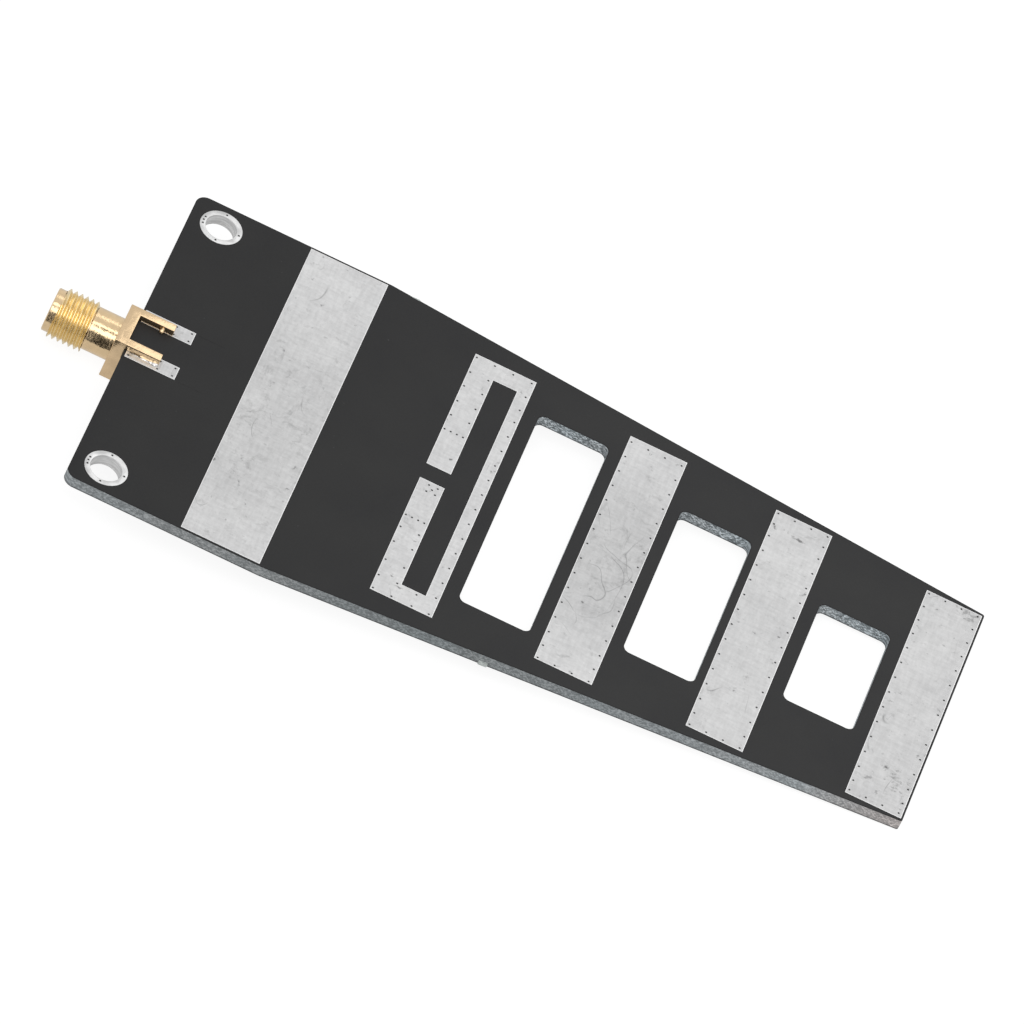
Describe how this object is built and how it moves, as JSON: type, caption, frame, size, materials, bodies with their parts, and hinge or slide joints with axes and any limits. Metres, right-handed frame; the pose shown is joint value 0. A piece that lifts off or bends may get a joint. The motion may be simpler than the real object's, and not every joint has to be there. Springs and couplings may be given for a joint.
{
  "type": "pcb yagi antenna",
  "caption": "Flat tapered circuit board antenna with a reflector, folded driven element, directors and window cut-outs, fed by a coaxial edge jack.",
  "frame": {"origin": "midway between the two mounting holes, on the outer face of the lower solder mask", "axes": "+X along the board from the coaxial jack to the last director, +Y across the board, +Z out of the upper face"},
  "size_m": [0.115, 0.0516, 0.0065],
  "materials": {
    "laminate": "glass fibre laminate, routed edges, mottled grey",
    "solder_mask": "matt black solder mask",
    "tinned_copper": "levelled tin over copper, fine scratches",
    "gold_plate": "gold plated brass",
    "insulator": "white fluoropolymer",
    "gold_contact": "gold plated copper alloy",
    "solder": "bright solder"
  },
  "bodies": {
    "root": {"laminate": "laminate", "solder_mask_top": "solder_mask", "solder_mask_bottom": "solder_mask", "reflector": "tinned_copper", "driven_element_top": "tinned_copper", "driven_element_bottom": "tinned_copper", "director_1_top": "tinned_copper", "director_1_bottom": "tinned_copper", "director_2_top": "tinned_copper", "director_2_bottom": "tinned_copper", "director_3_top": "tinned_copper", "director_3_bottom": "tinned_copper", "ground_pad_left": "tinned_copper", "ground_pad_right": "tinned_copper", "lower_pad_left": "tinned_copper", "lower_pad_right": "tinned_copper", "feed_line": "tinned_copper", "hole_plating_left": "tinned_copper", "hole_plating_right": "tinned_copper", "jack_body": "gold_plate", "jack_insulator": "insulator", "jack_contact": "gold_contact", "solder_left": "solder", "solder_right": "solder", "solder_pin": "solder"}
  },
  "joints": []
}
